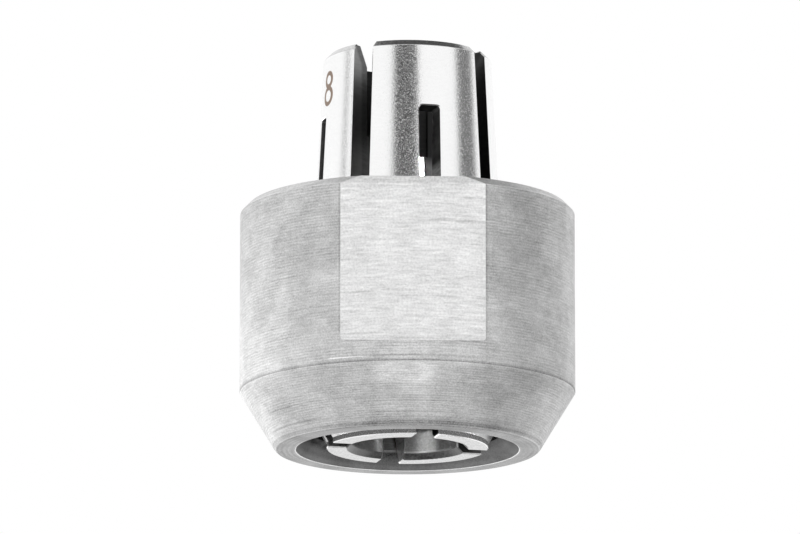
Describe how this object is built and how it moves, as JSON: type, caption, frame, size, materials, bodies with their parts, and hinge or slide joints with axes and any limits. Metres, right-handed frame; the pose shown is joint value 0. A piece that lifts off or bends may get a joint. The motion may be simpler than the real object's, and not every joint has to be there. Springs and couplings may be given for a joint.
{
  "type": "router collet with nut",
  "caption": "Slotted spring collet held loosely in a round nut with wrench flats, for clamping a tool shank in a router spindle.",
  "frame": {"origin": "on the common axis, in the plane of the nut's nose rim, which the part stands on", "axes": "+Z along the axis, from the nose towards the collet's tapered tail; the nut's wrench flats face -Y and +Y"},
  "size_m": [0.0244, 0.0244, 0.0292],
  "materials": {
    "turned_steel": "turned and milled steel, matte",
    "spring_wire": "drawn spring wire",
    "ground_steel": "hardened and ground steel, bright"
  },
  "bodies": {
    "nut": {"collet_nut": "turned_steel"},
    "ring": {"retaining_ring": "spring_wire"},
    "collet": {"spring_collet": "ground_steel"}
  },
  "joints": [
    {"name": "nut_spin", "type": "hinge", "parent": "nut", "child": "ring", "pos_m": [0, 0, 0.0069], "axis": [0, 0, 1], "continuous": true},
    {"name": "collet_float", "type": "slide", "parent": "ring", "child": "collet", "axis": [0, 0, 1], "range_m": [0, 0.0004]}
  ]
}
